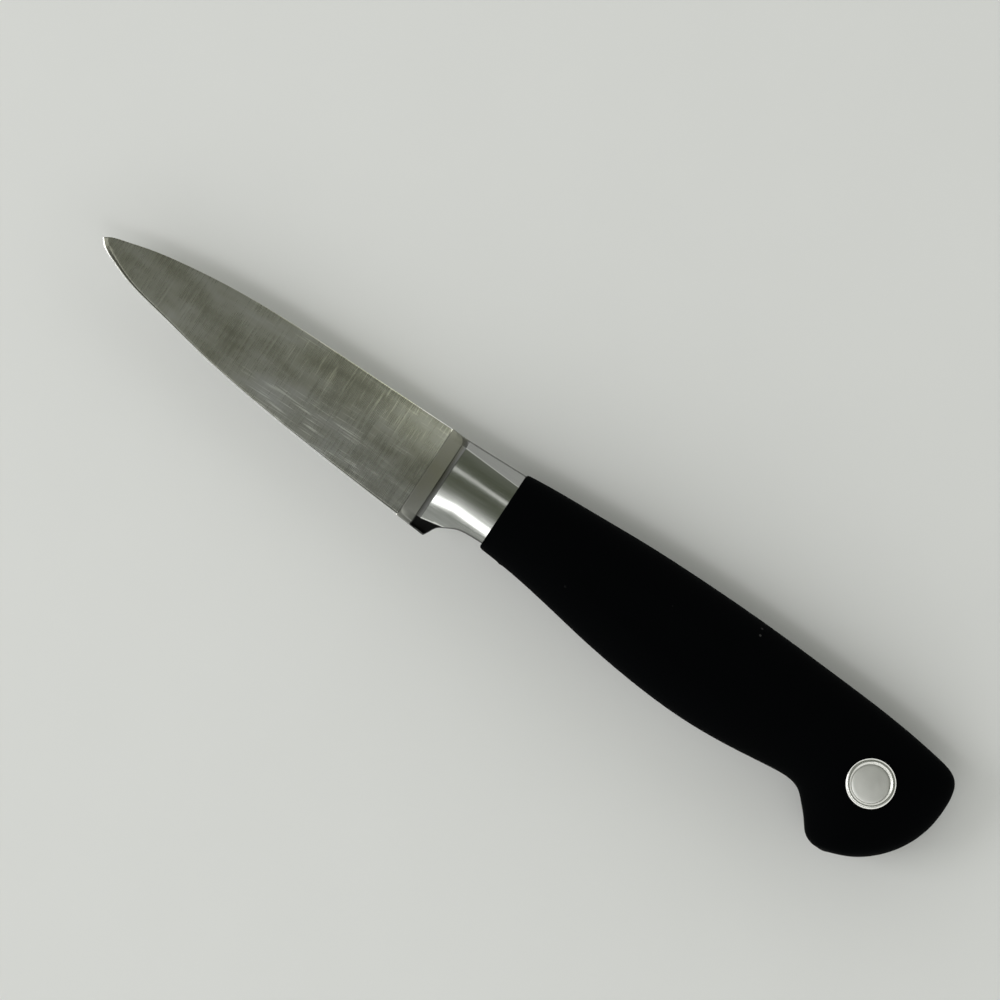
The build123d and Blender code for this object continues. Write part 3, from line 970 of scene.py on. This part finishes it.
def soft_rubber():
    """Matte black elastomer with a faint moulded grain and a few specks of dust."""
    graph, place, finish = new_material("soft_rubber")
    grain = graph.noise(place, (5200, 5200, 5200), 2, 0.5)
    wear = graph.noise(place, (60, 60, 60), 3, 0.55)
    cells = graph.node("ShaderNodeTexVoronoi", {}, {"Vector": place, "Scale": 170})
    dust = (1 - cells.between(0.035, 0.06)) * wear.between(0.5, 0.6)
    rubber = graph.tinted(finish.rubber, 0.8 + 0.4 * wear)
    base = graph.mix(dust * 0.35, rubber, finish.dust)
    rough = 0.66 + 0.14 * grain + 0.08 * wear
    return graph.surface(base, rough, (grain, 0.02 * MM), {"Specular IOR Level": 0.015})


def cover_steel():
    """Polished steel with the faint rings left by turning."""
    graph, place, finish = new_material("cover_steel")
    middle = rivet_middle()
    offset = graph.vector_math("SUBTRACT", place, (middle.x, middle.y, 0))
    flat = graph.vector_math("MULTIPLY", offset, (1, 1, 0))
    radius = graph.node("ShaderNodeVectorMath", {"operation": "LENGTH"}, {0: flat}, output="Value")
    rings = graph.node("ShaderNodeTexNoise", {"noise_dimensions": "1D"},
                       {"W": radius * 5200, "Scale": 1.0, "Detail": 2.0})
    smears = graph.noise(place, (420, 420, 420), 3, 0.6)
    shaded = graph.tinted(finish.cover_steel, 0.92 + 0.12 * (smears - 0.5) + 0.08 * (rings - 0.5))
    in_field = 1 - radius.between(3.7 * MM, 4.1 * MM)
    rough = 0.16 + 0.10 * smears + 0.05 * rings + 0.20 * in_field
    return graph.surface(shaded, rough, (rings, 0.006 * MM), {"Metallic": 1.0})


def core_plastic():
    """Plain moulded plastic of the hidden core."""
    graph, place, finish = new_material("core_plastic")
    grain = graph.noise(place, (2600, 2600, 2600), 2, 0.5)
    flow = graph.noise(place, (50, 260, 260), 3, 0.5)
    base = graph.tinted(finish.plastic, 0.85 + 0.3 * flow)
    return graph.surface(base, 0.5 + 0.15 * grain, (grain, 0.015 * MM))


def turned_steel():
    """Plain turned steel of the rivet."""
    graph, place, finish = new_material("turned_steel")
    lines = graph.noise(place, (300, 300, 6000), 2, 0.5)
    base = graph.tinted(finish.steel, 0.92 + 0.16 * (lines - 0.5))
    return graph.surface(base, 0.25 + 0.12 * lines, (lines, 0.01 * MM), {"Metallic": 1.0})


def floor_paint():
    graph, place, finish = new_material("studio_floor")
    mottle = graph.noise(place, (30, 30, 30), 3, 0.6)
    base = graph.tinted(finish.floor, 0.985 + 0.03 * mottle)
    return graph.surface(base, 0.85, others={"Specular IOR Level": 0.2})


# Soft lamps: direction from the knife (along, across, up), distance, width, depth, brightness
LAMPS = {
    "key": ((-0.95, -0.55, 1.0), 1.3, 0.6, 0.6, 3.0),
    "strip": ((-0.02, -0.35, 1.0), 1.0, 0.7, 0.12, 2.6),
    "ceiling": ((0.0, 0.25, 1.0), 1.0, 0.7, 0.05, 0.9),
}

# Light of the sky, from the edge's side over the top to the spine's side
SKY_SHARES = [
    (0.00, (0.60, 0.61, 0.60)), (0.20, (0.40, 0.41, 0.39)), (0.29, (0.30, 0.31, 0.29)),
    (0.34, (0.75, 0.76, 0.74)), (0.40, (0.74, 0.75, 0.73)), (0.445, (0.24, 0.25, 0.22)),
    (0.50, (0.12, 0.13, 0.10)), (0.60, (0.11, 0.12, 0.09)), (0.70, (0.10, 0.11, 0.08)),
    (0.85, (0.22, 0.23, 0.20)), (1.00, (0.36, 0.37, 0.35)),
]
HORIZON_SHARES = [(0.0, (1.66, 1.67, 1.62)), (0.5, (1.40, 1.41, 1.37)), (0.8, (1.35, 1.36, 1.32))]
SEEN_SKY = (0.62, 0.64, 0.63)


class KNIFE_OT_studio(Operator):
    """Camera above the knife, pale floor and soft lamps"""
    bl_idname = "paring_knife.studio"
    bl_label = "Studio"

    def execute(self, context):
        scene = context.scene
        scene.view_settings.view_transform = "Standard"
        self.camera(scene)
        self.floor()
        self.sky(scene)
        for name, values in LAMPS.items():
            self.lamp(name, *values)
        return {"FINISHED"}

    @staticmethod
    def camera(scene):
        studio = settings().studio
        data = bpy.data.cameras.new("view")
        data.lens = data.sensor_width * studio.camera_height / studio.view_width
        data.clip_end = 10
        camera = new_object("view", data)
        height = drawing_origin().z + studio.camera_height
        camera.location = (studio.aim_along, studio.aim_across, height)
        camera.rotation_euler = (0, 0, studio.turn)
        scene.camera = camera

    @staticmethod
    def floor():
        half = settings().studio.floor_width / 2
        around = ((-half, -half), (half, -half), (half, half), (-half, half))
        corners = [(x, y, cad_box[0].z) for x, y in around]
        floor = mesh_object("floor", corners, [(0, 1, 2, 3)])
        floor.data.materials.append(floor_paint())

    @staticmethod
    def sky(scene):
        """Dim above and lighter toward the edge and the spine, and pale where the camera sees it."""
        world = bpy.data.worlds.new("studio")
        scene.world = world
        graph = Graph(world)
        toward = graph.node("ShaderNodeTexCoord", output="Generated")
        across, height = graph.axis(toward, "Y"), graph.axis(toward, "Z")
        ramps = [graph.ramp(across * 0.5 + 0.5, stops) for stops in (HORIZON_SHARES, SKY_SHARES)]
        light = graph.mix(height.between(0.3, 0.8), *ramps)
        seen = graph.node("ShaderNodeLightPath", output="Is Camera Ray")
        color_seen = graph.mix(seen, light, SEEN_SKY)
        background = graph.node("ShaderNodeBackground", {}, {"Color": color_seen})
        graph.node("ShaderNodeOutputWorld", {}, {"Surface": background})

    @staticmethod
    def lamp(name, toward, distance, width, depth, brightness):
        """Rectangular soft lamp, as bright as a surface that shows this colour value."""
        data = bpy.data.lights.new(name, "AREA")
        data.shape = "RECTANGLE"
        data.size = width
        data.size_y = depth
        data.energy = brightness * math.pi * width * depth
        lamp = new_object(name, data)
        lamp.location = Vector(toward).normalized() * distance
        lamp.rotation_mode = "QUATERNION"
        lamp.rotation_quaternion = lamp.location.to_track_quat("Z", "Y")


OPERATORS = (KNIFE_OT_studio, KNIFE_OT_forging, KNIFE_OT_soft_grip, KNIFE_OT_medallions,
             KNIFE_OT_inner_parts)


class KNIFE_PT_pieces(Panel):
    """Sizes, finishes and pieces of the paring knife"""
    bl_idname = "KNIFE_PT_pieces"
    bl_label = "Paring Knife"
    bl_space_type = "VIEW_3D"
    bl_region_type = "UI"
    bl_category = "Paring Knife"

    def draw(self, context):
        for operator in OPERATORS:
            self.layout.operator(operator.bl_idname)
        knife = context.scene.paring_knife
        for group_name in KnifeSettings.__annotations__:
            box = self.layout.box()
            box.label(text=group_name.title())
            group = getattr(knife, group_name)
            for name in type(group).__annotations__:
                box.prop(group, name)


CLASSES = (BladeSizes, BolsterSizes, TangSizes, GripSizes, MedallionSizes, Finishes, StudioSettings,
           KnifeSettings) + OPERATORS + (KNIFE_PT_pieces,)


def register():
    for cls in CLASSES:
        bpy.utils.register_class(cls)
    bpy.types.Scene.paring_knife = PointerProperty(type=KnifeSettings)


def unregister():
    del bpy.types.Scene.paring_knife
    for cls in reversed(CLASSES):
        bpy.utils.unregister_class(cls)


def main():
    register()
    bpy.ops.paring_knife.studio()
    bpy.ops.paring_knife.forging()
    bpy.ops.paring_knife.soft_grip()
    bpy.ops.paring_knife.medallions()
    bpy.ops.paring_knife.inner_parts()


if __name__ == "__main__":
    main()
